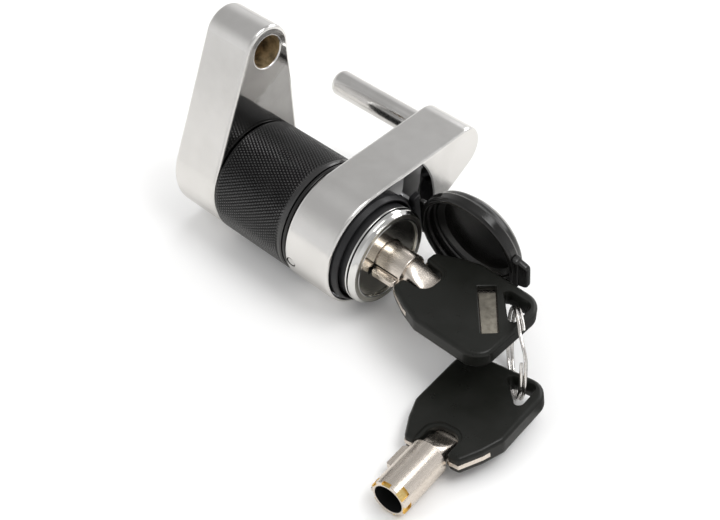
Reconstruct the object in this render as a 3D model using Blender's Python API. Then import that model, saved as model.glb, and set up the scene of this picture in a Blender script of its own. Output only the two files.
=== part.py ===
"""Trailer coupler lock: two die-cast arms on one barrel, with a tubular key lock.

Frame: metres, +Z up.  The barrel axis is the X axis.  The origin is on that axis,
on the flat outer face of the receiver arm.  The lock arm is at larger X, and the
key stands in the lock at its +X end.
"""

import math

import bmesh
import bpy
from mathutils import Matrix, Vector

MM = 0.001

# Two arms on one barrel (millimetres)
ARM_CENTRES = 32.3
RECEIVER_THICK = 13.5
RECEIVER_BIG_R = 13.9
RECEIVER_SMALL_R = 6.3
RECEIVER_ANGLE = 80.0
LOCK_THICK = 13.0
LOCK_BIG_R = 14.2
LOCK_SMALL_R = 6.0
LOCK_ANGLE = 14.7
SPAN = 23.2
EDGE_ROUND = 0.8
GAP = 0.3

# Faces along the barrel
INNER_X = RECEIVER_THICK
LOCK_X = INNER_X + SPAN
FACE_X = LOCK_X + LOCK_THICK
POCKET_DEPTH = 4.8
FLOOR_X = FACE_X - POCKET_DEPTH
POCKET_WALL = 0.9
SCALLOP_R = 21.4

# Sleeve, spindle and thrust ring
SLEEVE_R = 14.0
SPINDLE_R = 9.5
SPINDLE_BORE_R = 6.7
SPINDLE_SEAT = 10.0
THRUST_THICK = 0.9
SLEEVE_END_X = LOCK_X - THRUST_THICK - 2 * GAP

# Latch pin and its two holes
PIN_R = 3.175
PIN_TIP_X = 10.2
PIN_SEAT = 10.0
RECEIVER_HOLE_R = 3.9
RECEIVER_HOLE_DEPTH = 9.5

# Lock cylinder
RING_R = 11.7
RING_EDGE_X = 53.6
RING_FRONT_X = 55.1
RING_FRONT_R = 11.05
RECESS_R = 9.4
RECESS_FLOOR_X = 54.6
NOTCH_DEPTH = 1.2
KEYWAY_R = 4.6
BARREL_R = 8.9
WEB_THICK = 3.0
NOSE_R = 6.4
NOSE_END_X = 27.0
BORE_R = 5.3
ROTOR_R = 5.0
CHAMBER_PITCH_R = 3.8
CHAMBER_START = 64.0
CHAMBER_R = 0.85
CHAMBERS = 7
SHAFT_R = 1.8
SHAFT_BORE_R = 2.1
RETAINER_X = 38.6
RETAINER_R = 1.0
RETAINER_ANGLE = 188.0

# Locking balls and their cam
BALL_R = 1.7
BALL_X = 30.0
BALL_REST_R = 4.55
BALL_TRAVEL = 1.2
CAM_GAP = 0.25

# Dust cover, swung open on its hinge
HINGE_X = 52.6
HINGE_R = 13.5
HINGE_ANGLE = 7.8
COVER_OPEN = 91.0
COVER_LIP = -0.85
COVER_INNER_R = 12.0
COVER_OUTER_R = 12.8
COVER_DEPTH = 6.2

# Keys: U runs from the tip of the tube to the end of the bow
TUBE_R = 4.25
TUBE_BORE_R = 3.3
TUBE_LENGTH = 13.5
LUG_START = 6.8
LUG_END = 12.9
BOW_HALF = 11.1
BOW_THICK = 4.3
BOW_START = 14.0
BOW_SHOULDER = (18.8, 9.3)
BOW_FLARE = 23.6
BOW_END = 41.3
BOW_EAR = 6.7
NOTCH_HALF = 3.6
NOTCH_END = 20.2
BLADE_THICK = 1.0
KEY_1_TIP_X = 48.3
KEY_2_TIP = (92.7, -41.9, -9.95)
KEY_2_YAW = -3.9
KEY_2_TILT = 0.5
KEY_2_ROLL = 9.5

# Split ring, two turns of wire
RING_CENTRE = (90.47, 0.59, -4.3)
RING_HEADING = -45.1
RING_MEAN_R = 9.5
WIRE_R = 0.38
TURN_GAP = 0.12
SLOT_1_CROSSING = 153.1

CUTS = (0.9, 1.3, 0.7, 1.0, 0.4, 1.6, 1.4)


# ---------------------------------------------------------------- materials


def material(name, colour, metallic, roughness):
    mat = bpy.data.materials.new(name)
    mat.use_nodes = True
    shader = mat.node_tree.nodes["Principled BSDF"]
    shader.inputs["Base Color"].default_value = (*colour, 1.0)
    shader.inputs["Metallic"].default_value = metallic
    shader.inputs["Roughness"].default_value = roughness
    return mat


def chrome():
    return material("chrome_plate", (0.78, 0.78, 0.79), 1.0, 0.12)


def steel():
    return material("bright_steel", (0.62, 0.62, 0.63), 1.0, 0.25)


def nickel():
    return material("nickel_plate", (0.72, 0.68, 0.62), 1.0, 0.28)


def brass():
    return material("brass", (0.72, 0.52, 0.2), 1.0, 0.3)


def black_metal():
    return material("black_oxide", (0.018, 0.018, 0.02), 0.4, 0.45)


def black_plastic():
    return material("black_plastic", (0.02, 0.02, 0.021), 0.0, 0.35)


# ---------------------------------------------------------------- mesh helpers


def make_object(name, bm, mat, pivot=None):
    """Turn a bmesh in world millimetres into an object with its origin at pivot."""
    bm.normal_update()
    bmesh.ops.recalc_face_normals(bm, faces=bm.faces)
    origin = Vector(pivot) if pivot is not None else Vector((0.0, 0.0, 0.0))
    bmesh.ops.translate(bm, verts=bm.verts, vec=-origin)
    bmesh.ops.scale(bm, verts=bm.verts, vec=(MM, MM, MM))
    mesh = bpy.data.meshes.new(name)
    bm.to_mesh(mesh)
    bm.free()
    mesh.shade_smooth()
    mesh.set_sharp_from_angle(angle=math.radians(35))
    mesh.materials.append(mat)
    obj = bpy.data.objects.new(name, mesh)
    obj.location = origin * MM
    bpy.context.scene.collection.objects.link(obj)
    return obj


def make_tool(name, bm):
    """A helper solid for a Boolean: it isn't part of the object."""
    obj = make_object(name, bm, black_plastic())
    obj.hide_render = True
    obj.display_type = "WIRE"
    return obj


def combine(obj, tool, operation):
    mod = obj.modifiers.new(operation.lower() + "_" + tool.name, "BOOLEAN")
    mod.operation = operation
    mod.object = tool
    return mod


def cut(obj, tool):
    return combine(obj, tool, "DIFFERENCE")


def join(obj, tool):
    return combine(obj, tool, "UNION")


def loft(loops, closed=False):
    """Skin a list of point loops; cap both ends, or close the skin on itself."""
    bm = bmesh.new()
    rings = [[bm.verts.new(p) for p in loop] for loop in loops]
    pairs = list(zip(rings, rings[1:]))
    if closed:
        pairs.append((rings[-1], rings[0]))
    count = len(rings[0])
    for a, b in pairs:
        for i in range(count):
            j = (i + 1) % count
            bm.faces.new((a[i], a[j], b[j], b[i]))
    if not closed:
        bm.faces.new(rings[0][::-1])
        bm.faces.new(rings[-1])
    return bm


def circle(x, radius, segments, centre=(0.0, 0.0)):
    points = []
    for i in range(segments):
        a = 2 * math.pi * i / segments
        points.append((x, centre[0] + radius * math.cos(a), centre[1] + radius * math.sin(a)))
    return points


def turned(profile, segments=48, centre=(0.0, 0.0)):
    """Solid of revolution about X: profile is a list of (x, radius), solid to the axis."""
    return loft([circle(x, r, segments, centre) for x, r in profile])


def turned_ring(profile, segments=48):
    """Ring of revolution about X: profile is a closed loop of (x, radius)."""
    return loft([circle(x, r, segments) for x, r in profile], closed=True)


def prism(outline, low, high, matrix=None, rounding=0.0):
    """Extrude an outline of (u, w) along n, with chamfered edges where asked."""
    levels = [(low, 0.0), (high, 0.0)]
    if rounding:
        levels = [(low, rounding), (low + rounding, 0.0), (high - rounding, 0.0), (high, rounding)]
    loops = []
    for n, inset in levels:
        loops.append([(u, w, n) for u, w in inset_outline(outline, inset)])
    bm = loft(loops)
    if matrix is not None:
        bm.transform(matrix)
    return bm


def inset_outline(outline, amount):
    """Move each side of a convex-ish outline inward by amount."""
    if not amount:
        return list(outline)
    points = [Vector(p) for p in outline]
    area = sum(a.cross(b) for a, b in zip(points, points[1:] + points[:1]))
    turn = 1.0 if area > 0 else -1.0
    result = []
    for i, here in enumerate(points):
        before = (here - points[i - 1]).normalized()
        after = (points[(i + 1) % len(points)] - here).normalized()
        side_a = Vector((-before.y, before.x)) * turn
        side_b = Vector((-after.y, after.x)) * turn
        mid = side_a + side_b
        result.append(here + mid * (amount / max(0.3, 1.0 + side_a.dot(side_b))))
    return [(p.x, p.y) for p in result]


def box(low, high):
    bm = bmesh.new()
    bmesh.ops.create_cube(bm, size=1.0)
    size = [h - l for l, h in zip(low, high)]
    middle = [(h + l) / 2 for l, h in zip(low, high)]
    bmesh.ops.scale(bm, verts=bm.verts, vec=size)
    bmesh.ops.translate(bm, verts=bm.verts, vec=middle)
    return bm


def polar(radius, degrees):
    a = math.radians(degrees)
    return radius * math.cos(a), radius * math.sin(a)


def frame_matrix(origin, u, w):
    """Matrix that takes local (u, w, n) to the world, with n = u x w."""
    u = Vector(u).normalized()
    w = Vector(w).normalized()
    n = u.cross(w)
    return Matrix.Translation(origin) @ Matrix((u, w, n)).transposed().to_4x4()


# ---------------------------------------------------------------- arms


def teardrop(big, small, angle, inset=0.0, big_steps=30, small_steps=16):
    """Two arcs joined by their outer tangents, pointing along angle, in (y, z)."""
    tangent = math.acos((big - small) / ARM_CENTRES)
    points = []
    for i in range(big_steps + 1):
        a = tangent + (2 * math.pi - 2 * tangent) * i / big_steps
        points.append(((big - inset) * math.cos(a), (big - inset) * math.sin(a)))
    for i in range(small_steps + 1):
        a = -tangent + 2 * tangent * i / small_steps
        points.append((ARM_CENTRES + (small - inset) * math.cos(a), (small - inset) * math.sin(a)))
    c, s = polar(1.0, angle)
    return [(y * c - z * s, y * s + z * c) for y, z in points]


def arm_solid(big, small, angle, x_low, x_high, steps=3):
    """Teardrop plate with rounded edges on both faces."""
    loops = []
    for end, sign in ((x_low, 1.0), (x_high, -1.0)):
        stretch = []
        for i in range(steps + 1):
            a = math.pi / 2 * i / steps
            inset = EDGE_ROUND * (1.0 - math.sin(a))
            depth = EDGE_ROUND * (1.0 - math.cos(a))
            outline = teardrop(big, small, angle, inset)
            stretch.append([(end + sign * depth, y, z) for y, z in outline])
        loops += stretch if sign > 0 else stretch[::-1]
    return loft(loops)


def build_receiver_arm():
    arm = make_object(
        "receiver_arm",
        arm_solid(RECEIVER_BIG_R, RECEIVER_SMALL_R, RECEIVER_ANGLE, 0.0, INNER_X),
        chrome(),
    )
    seat = turned([(INNER_X - SPINDLE_SEAT - GAP, SPINDLE_R + GAP), (INNER_X + 1, SPINDLE_R + GAP)])
    cut(arm, make_tool("spindle_seat_cutter", seat))
    hole_centre = polar(ARM_CENTRES, RECEIVER_ANGLE)
    hole = turned(
        [(INNER_X - RECEIVER_HOLE_DEPTH, RECEIVER_HOLE_R), (INNER_X + 1, RECEIVER_HOLE_R)],
        32,
        hole_centre,
    )
    cut(arm, make_tool("receiver_hole_cutter", hole))


def pocket_outline():
    """Floor of the lock face: the arm's outline inside its rim, cut off by a round scallop."""
    tangent_cos = (LOCK_BIG_R - LOCK_SMALL_R) / ARM_CENTRES
    wall_r = LOCK_BIG_R - POCKET_WALL
    tangent = math.degrees(math.acos(tangent_cos))
    corner = math.degrees(math.acos(wall_r / SCALLOP_R))
    points = []
    start = tangent - corner
    for i in range(17):
        points.append(polar(SCALLOP_R, LOCK_ANGLE - start + 2 * start * i / 16))
    for i in range(37):
        points.append(polar(wall_r, LOCK_ANGLE + tangent + (360 - 2 * tangent) * i / 36))
    return points


def build_lock_arm():
    arm = make_object(
        "lock_arm",
        arm_solid(LOCK_BIG_R, LOCK_SMALL_R, LOCK_ANGLE, LOCK_X, FACE_X),
        chrome(),
        (LOCK_X, 0.0, 0.0),
    )
    outline = pocket_outline()
    pocket = loft([[(x, y, z) for y, z in outline] for x in (FLOOR_X, FACE_X + 1)])
    cut(arm, make_tool("pocket_cutter", pocket))
    web_x = LOCK_X + WEB_THICK
    bore = turned(
        [
            (LOCK_X - 1, NOSE_R + GAP),
            (web_x, NOSE_R + GAP),
            (web_x, BARREL_R + GAP),
            (FLOOR_X + 1, BARREL_R + GAP),
        ]
    )
    cut(arm, make_tool("cylinder_bore_cutter", bore))
    seat = turned(
        [(LOCK_X - 1, PIN_R + GAP), (LOCK_X + PIN_SEAT + GAP, PIN_R + GAP)],
        32,
        polar(ARM_CENTRES, LOCK_ANGLE),
    )
    cut(arm, make_tool("latch_pin_seat_cutter", seat))
    cut(arm, make_tool("retainer_hole_cutter", radial_pin(RETAINER_R + GAP, 6.0, 15.5)))


def radial_pin(radius, inner, outer, segments=20, x=None, angle=None):
    """A round bar across the barrel wall, from radius inner to radius outer."""
    x = RETAINER_X if x is None else x
    angle = RETAINER_ANGLE if angle is None else angle
    y, z = polar(1.0, angle)
    bm = loft(
        [
            [(u, w, n) for n, u, w in circle(inner, radius, segments)],
            [(u, w, n) for n, u, w in circle(outer, radius, segments)],
        ]
    )
    axis = Vector((0.0, y, z))
    side = Vector((1.0, 0.0, 0.0))
    matrix = Matrix((side, axis.cross(side), axis)).transposed().to_4x4()
    bm.transform(Matrix.Translation((x, 0.0, 0.0)) @ matrix)
    return bm


def build_latch_pin():
    y, z = polar(ARM_CENTRES, LOCK_ANGLE)
    tip = 1.2
    profile = [(PIN_TIP_X, PIN_R - tip)]
    for i in range(1, 5):
        a = math.pi / 2 * i / 4
        profile.append((PIN_TIP_X + tip * (1 - math.cos(a)), PIN_R - tip + tip * math.sin(a)))
    profile += [(LOCK_X + PIN_SEAT - 0.4, PIN_R), (LOCK_X + PIN_SEAT, PIN_R - 0.4)]
    make_object("latch_pin", turned(profile, 32, (y, z)), chrome(), (LOCK_X, y, z))


# ---------------------------------------------------------------- barrel


def build_spindle():
    groove = (BALL_X - 2.1, BALL_X + 2.1)
    end = SLEEVE_END_X
    start = INNER_X - SPINDLE_SEAT
    profile = [
        (start, SPINDLE_R),
        (end - 0.4, SPINDLE_R),
        (end, SPINDLE_R - 0.4),
        (end, SPINDLE_BORE_R + 0.3),
        (end - 0.3, SPINDLE_BORE_R),
        (groove[1], SPINDLE_BORE_R),
        (groove[1], SPINDLE_BORE_R + 1.1),
        (groove[0], SPINDLE_BORE_R + 1.1),
        (groove[0], SPINDLE_BORE_R),
        (start, SPINDLE_BORE_R),
    ]
    make_object("spindle", turned_ring(profile), steel())


def build_sleeve():
    start = INNER_X + GAP
    end = SLEEVE_END_X
    profile = [
        (start, SLEEVE_R - 0.3),
        (start + 0.3, SLEEVE_R),
        (end - 0.4, SLEEVE_R),
        (end, SLEEVE_R - 0.4),
        (end, SPINDLE_R + GAP),
        (start, SPINDLE_R + GAP),
    ]
    make_object("knurled_sleeve", turned_ring(profile, 64), black_metal())


def build_thrust_ring():
    start = SLEEVE_END_X + GAP
    end = start + THRUST_THICK
    outer = SLEEVE_R - 0.3
    profile = [(start, outer), (end, outer), (end, NOSE_R + GAP), (start, NOSE_R + GAP)]
    make_object("thrust_ring", turned_ring(profile, 64), black_plastic(), (start, 0.0, 0.0))


# ---------------------------------------------------------------- lock cylinder


def build_lock_cylinder():
    """Chrome face, barrel and nose turned from one bar, with a through bore."""
    seat = FLOOR_X + GAP
    web_x = LOCK_X + WEB_THICK + GAP
    groove_low = RETAINER_X - RETAINER_R - 0.3
    groove_high = RETAINER_X + RETAINER_R + 0.3
    profile = [
        (seat, RING_R),
        (RING_EDGE_X - 0.5, RING_R),
        (RING_EDGE_X - 0.4, RING_R - 0.4),
        (RING_EDGE_X - 0.1, RING_R - 0.4),
        (RING_EDGE_X, RING_R),
        (RING_EDGE_X + 0.8, RING_R - 0.15),
        (RING_FRONT_X - 0.2, RING_FRONT_R + 0.15),
        (RING_FRONT_X, RING_FRONT_R),
        (RING_FRONT_X, RECESS_R + 0.2),
        (RECESS_FLOOR_X, RECESS_R),
        (RECESS_FLOOR_X, KEYWAY_R),
        (KEY_1_TIP_X + 0.3, KEYWAY_R),
        (KEY_1_TIP_X + 0.3, BORE_R),
        (NOSE_END_X, BORE_R),
        (NOSE_END_X, NOSE_R),
        (groove_low, NOSE_R),
        (groove_low, NOSE_R - 0.6),
        (groove_high, NOSE_R - 0.6),
        (groove_high, NOSE_R),
        (web_x, NOSE_R),
        (web_x, BARREL_R),
        (seat, BARREL_R),
    ]
    body = make_object("lock_cylinder", turned_ring(profile), chrome(), (FACE_X, 0.0, 0.0))
    for name, angle in (("ball_port_up_cutter", 90.0), ("ball_port_down_cutter", 270.0)):
        cut(body, make_tool(name, radial_pin(BALL_R + 0.25, 4.6, 7.4, 20, BALL_X, angle)))
    notch = box((RECESS_FLOOR_X - NOTCH_DEPTH, -6.2, -0.8), (RECESS_FLOOR_X + 1, -4.0, 0.8))
    cut(body, make_tool("lug_notch_cutter", notch))


def build_cylinder_pin():
    make_object(
        "cylinder_pin",
        radial_pin(RETAINER_R, NOSE_R - 0.3, LOCK_BIG_R - 0.15),
        steel(),
    )


def chamber_centre(index):
    return polar(CHAMBER_PITCH_R, CHAMBER_START + 360.0 * index / CHAMBERS)


def drill_chambers(obj, low, high, label):
    """Cut the ring of pin chambers, one cutter to a chamber."""
    for i in range(CHAMBERS):
        tool = turned([(low, CHAMBER_R), (high, CHAMBER_R)], 10, chamber_centre(i))
        cut(obj, make_tool(f"{label}_chamber_cutter_{i + 1}", tool))


PLUG_FRONT_X = KEY_1_TIP_X - GAP
SHEAR_X = PLUG_FRONT_X - 3.9
BLOCK_FRONT_X = SHEAR_X - GAP
BLOCK_BACK_X = BLOCK_FRONT_X - 7.3


def build_plug():
    """Rotor that holds the key pins."""
    profile = [
        (SHEAR_X, ROTOR_R),
        (PLUG_FRONT_X, ROTOR_R),
        (PLUG_FRONT_X, SHAFT_BORE_R),
        (SHEAR_X, SHAFT_BORE_R),
    ]
    plug = make_object("plug", turned_ring(profile, 36), brass(), (SHEAR_X, 0.0, 0.0))
    drill_chambers(plug, SHEAR_X - 1, PLUG_FRONT_X + 1, "plug")


def build_driver_block():
    """Fixed block behind the plug, with blind chambers for drivers and springs."""
    profile = [
        (BLOCK_BACK_X, ROTOR_R),
        (BLOCK_FRONT_X, ROTOR_R),
        (BLOCK_FRONT_X, SHAFT_BORE_R),
        (BLOCK_BACK_X, SHAFT_BORE_R),
    ]
    block = make_object("driver_block", turned_ring(profile, 36), brass())
    drill_chambers(block, BLOCK_BACK_X + 0.8, BLOCK_FRONT_X + 1, "block")


def build_plug_post():
    """Centre post under the key, and the shaft that carries the turn to the cam."""
    profile = [
        (NOSE_END_X + 0.3, SHAFT_R),
        (PLUG_FRONT_X + GAP, SHAFT_R),
        (PLUG_FRONT_X + GAP, TUBE_BORE_R - 0.5),
        (RECESS_FLOOR_X - 0.2, TUBE_BORE_R - 0.5),
        (RECESS_FLOOR_X + 0.2, TUBE_BORE_R - 0.9),
    ]
    make_object("plug_post", turned(profile, 28), steel(), (SHEAR_X, 0.0, 0.0))


def cam_radius(degrees):
    """Two equal lobes: a steady rise over a quarter turn, a dwell and a fall."""
    low = BALL_REST_R - BALL_R - CAM_GAP
    a = degrees % 180.0
    if a < 90.0:
        share = a / 90.0
    elif a < 115.0:
        share = 1.0
    elif a < 148.0:
        share = (148.0 - a) / 33.0
    else:
        share = 0.0
    return low + BALL_TRAVEL * share


def build_tail_cam():
    low, high = BALL_X - 1.7, BALL_X + 1.7
    steps = 60
    loops = []
    for x in (low, high):
        loop = []
        for i in range(steps):
            a = 360.0 * i / steps
            y, z = polar(cam_radius(a), a + 90.0)
            loop.append((x, y, z))
        loops.append(loop)
    cam = make_object("tail_cam", loft(loops), steel(), (BALL_X, 0.0, 0.0))
    bore = turned([(low - 1, SHAFT_BORE_R), (high + 1, SHAFT_BORE_R)], 24)
    cut(cam, make_tool("tail_cam_bore_cutter", bore))


def build_tail_clip():
    """Open clip that keeps the cam on the shaft."""
    x = BALL_X - 1.7 - GAP
    profile = [(x - 0.5, 3.2), (x, 3.2), (x, SHAFT_BORE_R - 0.15), (x - 0.5, SHAFT_BORE_R - 0.15)]
    clip = make_object("tail_clip", turned_ring(profile, 28), steel(), (BALL_X, 0.0, 0.0))
    mouth = box((x - 2, -0.9, -4.5), (x + 1.5, 0.9, -0.5))
    cut(clip, make_tool("tail_clip_mouth_cutter", mouth))


def build_locking_ball(index, side):
    bm = bmesh.new()
    bmesh.ops.create_uvsphere(bm, u_segments=16, v_segments=10, radius=BALL_R)
    centre = (BALL_X, 0.0, side * BALL_REST_R)
    bmesh.ops.translate(bm, verts=bm.verts, vec=centre)
    make_object(f"locking_ball_{index}", bm, steel(), centre)


def build_pin_stack(index):
    """Key pin in the plug, driver pin and spring in the block behind it."""
    centre = chamber_centre(index)
    pin_r = CHAMBER_R - 0.15
    reach = CUTS[index]
    front = PLUG_FRONT_X + reach
    key_pin = turned(
        [(SHEAR_X + 0.15, pin_r), (front - 0.35, pin_r), (front, pin_r - 0.3)], 10, centre
    )
    make_object(f"key_pin_{index + 1}", key_pin, brass(), (SHEAR_X, *centre))
    back = BLOCK_FRONT_X - 2.4
    driver = turned([(back, pin_r), (BLOCK_FRONT_X - 0.15, pin_r)], 10, centre)
    make_object(f"driver_pin_{index + 1}", driver, brass())
    low = BLOCK_BACK_X + 0.8 + 0.2
    build_spring(f"pin_spring_{index + 1}", centre, low, back - 0.2)


def build_spring(name, centre, x_low, x_high):
    """Compression spring of four turns about an axis along X."""
    turns, per_turn, sides, wire = 4, 8, 4, 0.12
    coil = CHAMBER_R - 0.15 - wire
    steps = turns * per_turn
    low, high = x_low + wire, x_high - wire
    loops = []
    for i in range(steps + 1):
        a = 2 * math.pi * i / per_turn
        x = low + (high - low) * i / steps
        middle = Vector((x, centre[0] + coil * math.cos(a), centre[1] + coil * math.sin(a)))
        out = Vector((0.0, math.cos(a), math.sin(a)))
        loop = []
        for k in range(sides):
            b = 2 * math.pi * k / sides
            loop.append(middle + out * wire * math.cos(b) + Vector((wire * math.sin(b), 0.0, 0.0)))
        loops.append(loop)
    make_object(name, loft(loops), steel())


# ---------------------------------------------------------------- dust cover


def build_cover_ring():
    """Moulded ring round the lock face, seated in the pocket of the lock arm."""
    low = FLOOR_X + GAP
    outer = LOCK_BIG_R - POCKET_WALL - GAP
    inner = RING_R + GAP
    profile = [
        (low, outer),
        (FACE_X + 0.2, outer),
        (FACE_X + 1.5, outer - 0.7),
        (FACE_X + 1.5, inner + 0.1),
        (low, inner),
    ]
    ring = make_object("cover_ring", turned_ring(profile, 64), black_plastic())
    radial, axis = hinge_frame()
    lug = flap(3.2, 3.2, -HINGE_R - 0.2, -inner - 0.4, low + 1.0, HINGE_X - 0.9)
    lug.transform(Matrix((axis, -radial, Vector((1.0, 0.0, 0.0)))).transposed().to_4x4())
    join(ring, make_tool("cover_lug_body", lug))


def hinge_frame():
    """Directions from the barrel axis to the hinge, and along the hinge."""
    y, z = polar(1.0, HINGE_ANGLE)
    return Vector((0.0, y, z)), Vector((0.0, -z, y))


def flap(half_low, half_high, low, high, x_low, x_high):
    """Tapered flat piece in the closed cover's frame: along the hinge, then away from it."""
    outline = [(-half_low, low), (half_low, low), (half_high, high), (-half_high, high)]
    return prism(outline, x_low, x_high)


def build_dust_cover():
    """Cup with a rolled lip, swung open about the strap that joins it to its ring."""
    radial, axis = hinge_frame()
    lip = HINGE_X + COVER_LIP
    back = lip + COVER_DEPTH
    bead = COVER_OUTER_R + 0.4
    profile = [
        (back, COVER_OUTER_R - 3.2),
        (back - 0.9, COVER_OUTER_R - 1.3),
        (back - 2.2, COVER_OUTER_R - 0.3),
        (lip + 2.9, COVER_OUTER_R),
        (lip + 2.2, bead),
        (lip + 0.7, bead),
        (lip + 0.1, bead - 0.5),
        (lip, COVER_INNER_R + 0.4),
        (lip + 0.4, COVER_INNER_R),
        (lip + 1.8, COVER_INNER_R),
        (lip + 2.2, COVER_INNER_R - 0.4),
        (lip + 2.6, COVER_INNER_R - 0.2),
        (back - 2.0, COVER_INNER_R - 0.7),
        (back - 1.3, COVER_INNER_R - 1.7),
    ]
    opened = swing_matrix(radial, axis, COVER_OPEN)
    along_x = Vector((1.0, 0.0, 0.0))
    cup = turned(profile)
    cup.transform(opened @ Matrix((along_x, radial, axis)).transposed().to_4x4())
    hinge_point = Vector((HINGE_X, 0.0, 0.0)) + radial * HINGE_R
    cover = make_object("dust_cover", cup, black_plastic(), hinge_point)
    across = Matrix((axis, -radial, along_x)).transposed().to_4x4()
    pieces = (
        ("strap", flap(3.2, 2.8, -HINGE_R - 0.2, 1.0 - COVER_OUTER_R, lip + 0.9, lip + 2.0)),
        ("tab", flap(4.4, 3.2, COVER_OUTER_R - 0.4, COVER_OUTER_R + 3.4, lip + 0.8, lip + 2.3)),
    )
    for label, piece in pieces:
        piece.transform(opened @ across)
        join(cover, make_tool(f"cover_{label}_body", piece))


def swing_matrix(radial, axis, degrees):
    """Turn the closed cover about its hinge so that it opens."""
    hinge_point = Vector((HINGE_X, 0.0, 0.0)) + radial * HINGE_R
    turn = Matrix.Rotation(math.radians(degrees), 4, axis)
    return Matrix.Translation(hinge_point) @ turn @ Matrix.Translation(-hinge_point)


# ---------------------------------------------------------------- keys and ring


def bow_outline():
    """Half of the bow's outline mirrored: ears, flare, sides and round corners."""
    corner = 4.6
    half = [(BOW_START, NOTCH_HALF), (BOW_START, BOW_EAR), BOW_SHOULDER, (BOW_FLARE, BOW_HALF)]
    for i in range(6):
        a = math.radians(90.0 - 18.0 * i)
        u = BOW_END - corner + corner * math.cos(a)
        w = BOW_HALF - corner + corner * math.sin(a)
        half.append((u, w))
    notch = []
    for i in range(1, 4):
        a = math.radians(90.0 - 22.5 * i)
        r = NOTCH_HALF
        notch.append((NOTCH_END - r + r * math.cos(a), r * math.sin(a)))
    side = [(NOTCH_END - NOTCH_HALF, NOTCH_HALF)] + notch
    outline = half + [(u, -w) for u, w in reversed(half)]
    outline += [(u, -w) for u, w in side] + [(NOTCH_END, 0.0)] + list(reversed(side))
    return outline


SLOT = ((32.3, 8.4), (39.3, 8.3), (39.4, 1.2))
WINDOW = ((27.4, 5.0), (30.4, 7.9), (39.1, -2.2), (36.5, -4.9))


def blade_head(grow=0.0):
    """Flat end of the blade inside the bow, with a narrow neck and a foot in the tube."""
    foot = 3.8 + grow
    neck = 2.8 + grow
    return [
        (TUBE_LENGTH - 1.2, -foot),
        (TUBE_LENGTH - 0.1, -foot),
        (TUBE_LENGTH + 0.9, -neck),
        (36.6, -5.9 - grow),
        (39.7 + grow, -2.3),
        (30.5, 8.7 + grow),
        (26.7 - grow, 5.2 + grow),
        (23.4 - grow, neck),
        (TUBE_LENGTH + 0.9, neck),
        (TUBE_LENGTH - 0.1, foot),
        (TUBE_LENGTH - 1.2, foot),
    ]


def build_key(prefix, tip, u, w, pivot):
    """Tubular key: rolled blade with a lug and seven cuts, moulded bow on its plate."""
    matrix = frame_matrix(tip, u, w)
    tube = turned_ring(
        [(0.0, TUBE_R), (TUBE_LENGTH, TUBE_R), (TUBE_LENGTH, TUBE_BORE_R), (0.0, TUBE_BORE_R)], 32
    )
    tube.transform(matrix)
    blade = make_object(prefix + "_blade", tube, nickel(), pivot)
    half = BLADE_THICK / 2
    plate = prism(blade_head(), -half, half)
    lug = box((LUG_START, -TUBE_R - 1.2, -0.5), (LUG_END, -TUBE_R + 0.5, 0.5))
    for label, piece in (("plate", plate), ("lug", lug)):
        piece.transform(matrix)
        join(blade, make_tool(f"{prefix}_{label}_body", piece))
    seam = box((-1.0, -TUBE_R - 0.8, 0.9), (TUBE_LENGTH + 0.5, -TUBE_BORE_R + 1.5, 1.35))
    seam.transform(matrix)
    cut(blade, make_tool(prefix + "_seam_cutter", seam))
    for i, depth in enumerate(CUTS):
        y, z = chamber_centre(i)
        # chambers are laid out about X in world (y, z), which are (w, n) on the key
        notch = box((-1.0, -0.95, -1.2), (depth + 0.2, 0.95, 1.2))
        turn = Matrix.Rotation(math.atan2(z, y) - math.pi / 2, 4, "X")
        notch.transform(matrix @ Matrix.Translation((0.0, y, z)) @ turn)
        cut(blade, make_tool(f"{prefix}_cut_{i + 1}_cutter", notch))
    bow_mesh = prism(bow_outline(), -BOW_THICK / 2, BOW_THICK / 2, matrix, 0.5)
    bow = make_object(prefix + "_bow", bow_mesh, black_plastic(), pivot)
    room = 0.25
    tools = (
        ("plate_room", prism(blade_head(room), -half - room, half + room)),
        ("slot", prism(SLOT, -BOW_THICK, BOW_THICK)),
        ("window", prism(WINDOW, 0.0, BOW_THICK)),
    )
    for label, piece in tools:
        piece.transform(matrix)
        cut(bow, make_tool(f"{prefix}_{label}_cutter", piece))


def key_2_axes():
    yaw = math.radians(KEY_2_YAW)
    tilt = math.radians(KEY_2_TILT)
    flat = math.cos(tilt)
    u = Vector((math.sin(yaw) * flat, math.cos(yaw) * flat, -math.sin(tilt)))
    level = Vector((math.cos(yaw), -math.sin(yaw), 0.0))
    roll = math.radians(KEY_2_ROLL)
    return u, level * math.cos(roll) - u.cross(level) * math.sin(roll)


def ring_point(degrees, radius=RING_MEAN_R, sideways=0.0):
    """Point on the split ring, which stands upright: 0 is away from key 1, 90 is up."""
    heading = math.radians(RING_HEADING)
    flat = Vector((math.cos(heading), math.sin(heading), 0.0))
    side = flat.cross(Vector((0.0, 0.0, 1.0)))
    c, s = polar(radius, degrees)
    return Vector(RING_CENTRE) + flat * c + Vector((0.0, 0.0, s)) + side * sideways


def build_split_ring():
    """Two turns of round wire, side by side, with a short cross-over."""
    per_turn, sides, lap, start = 36, 8, 2, 57.0
    shift = WIRE_R + TURN_GAP / 2
    loops = []
    for i in range(lap, 2 * per_turn - lap + 1):
        a = start + 360.0 * i / per_turn
        share = min(1.0, max(0.0, (i - per_turn + lap) / (2.0 * lap)))
        offset = shift * (2 * share * share * (3 - 2 * share) - 1)
        loop = []
        for k in range(sides):
            out, sideways = polar(WIRE_R, 360.0 * k / sides)
            loop.append(ring_point(a, RING_MEAN_R + out, offset + sideways))
        loops.append(loop)
    make_object("split_ring", loft(loops), steel(), ring_point(SLOT_1_CROSSING))


# ---------------------------------------------------------------- assembly


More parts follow.
